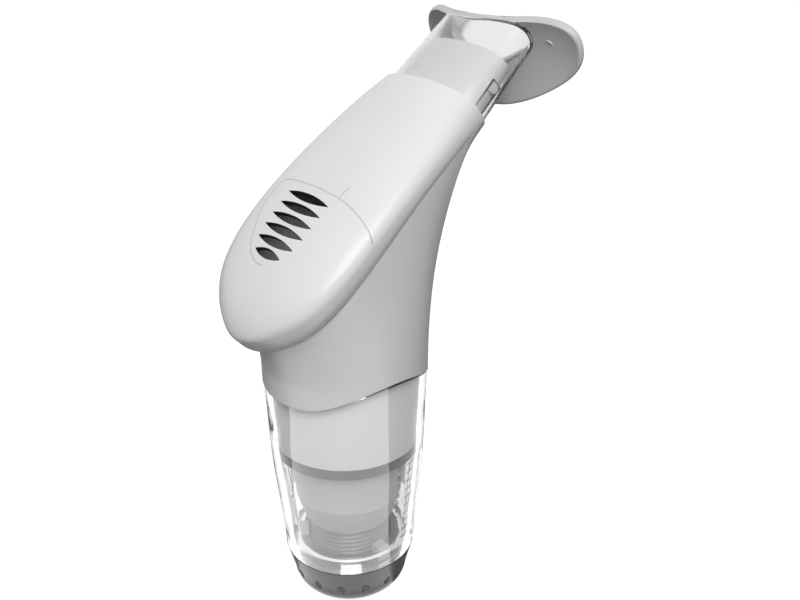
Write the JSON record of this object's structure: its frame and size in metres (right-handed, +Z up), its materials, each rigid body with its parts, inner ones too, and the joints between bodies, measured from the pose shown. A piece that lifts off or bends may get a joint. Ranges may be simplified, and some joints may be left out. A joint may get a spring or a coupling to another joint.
{
  "type": "inspiratory muscle trainer",
  "caption": "Handheld breathing trainer: clear chamber with a spring-loaded inhale valve, load knob below, vented head above and a slanted mouthpiece with a lip shield.",
  "frame": {"origin": "centre of the load knob's flat foot, on the axis of the clear chamber", "axes": "+Z up the chamber axis; -Y towards the vented front of the head; +Y towards the side the mouthpiece leaves on; the head and mouthpiece are symmetric about the plane X = 0"},
  "size_m": [0.0582, 0.0938, 0.1651],
  "materials": {
    "cover_white": "satin moulded ABS",
    "housing_grey": "satin moulded ABS",
    "clear_plastic": "clear polycarbonate",
    "sleeve_white": "satin moulded ABS",
    "band_grey": "satin",
    "inner_white": "satin moulded acetal",
    "seal_rubber": "matt silicone rubber",
    "flap_silicone": "matt silicone rubber",
    "knob_grey": "satin moulded ABS",
    "spindle_grey": "satin moulded acetal",
    "ring_acetal": "smooth acetal",
    "screw_steel": "zinc plated",
    "pad_rubber": "matt",
    "carriage_grey": "satin moulded acetal",
    "spring_steel": "drawn spring wire",
    "mouthpiece_clear": "frosted clear elastomer",
    "shield_grey": "soft medical elastomer"
  },
  "bodies": {
    "housing": {"lower_housing": "housing_grey", "chamber": "clear_plastic", "spring_sleeve": "sleeve_white", "indicator_band": "band_grey", "valve_plate": "inner_white", "chamber_gasket": "seal_rubber", "mouth_tube": "inner_white", "exhale_seat": "seal_rubber", "exhale_cage": "inner_white"},
    "knob": {"load_knob": "knob_grey", "snap_lugs": "inner_white", "spindle": "spindle_grey", "guide_bush": "inner_white", "thrust_ring": "ring_acetal", "retaining_screw": "screw_steel", "foot_pad": "pad_rubber"},
    "carriage": {"tension_carriage": "carriage_grey", "spring_cup": "carriage_grey", "tension_spring": "spring_steel"},
    "inhale_valve": {"inhale_poppet": "inner_white", "inhale_seal": "seal_rubber"},
    "exhale_valve": {"exhale_flap": "flap_silicone"},
    "cover": {"handle_cover": "cover_white"},
    "mouthpiece": {"mouthpiece_sleeve": "mouthpiece_clear", "mouthpiece_flange": "shield_grey"}
  },
  "joints": [
    {"name": "knob_turn", "type": "hinge", "parent": "housing", "child": "knob", "pos_m": [0, 0, 0], "axis": [0, 0, 1], "range_deg": [0, 3600]},
    {"name": "carriage_travel", "type": "slide", "parent": "housing", "child": "carriage", "axis": [0, 0, 1], "range_m": [0, 0.02901], "deforming": ["tension_spring"]},
    {"name": "inhale_valve_open", "type": "slide", "parent": "housing", "child": "inhale_valve", "axis": [0, 0, -1], "range_m": [0, 0.005], "stiffness_N_per_m": 300, "springref_m": -0.002},
    {"name": "exhale_flap_open", "type": "slide", "parent": "housing", "child": "exhale_valve", "axis": [0, -0.9659, 0.2588], "range_m": [0, 0.002], "stiffness_N_per_m": 30},
    {"name": "cover_lift", "type": "slide", "parent": "housing", "child": "cover", "axis": [0, -0.6561, 0.7547], "range_m": [0, 0.03]},
    {"name": "mouthpiece_pull", "type": "slide", "parent": "housing", "child": "mouthpiece", "axis": [0, 0.7547, 0.6561], "range_m": [0, 0.035]}
  ],
  "couplings": [
    {"joint": "carriage_travel", "follows": "knob_turn", "m_per_rad": 0.00046155}
  ]
}
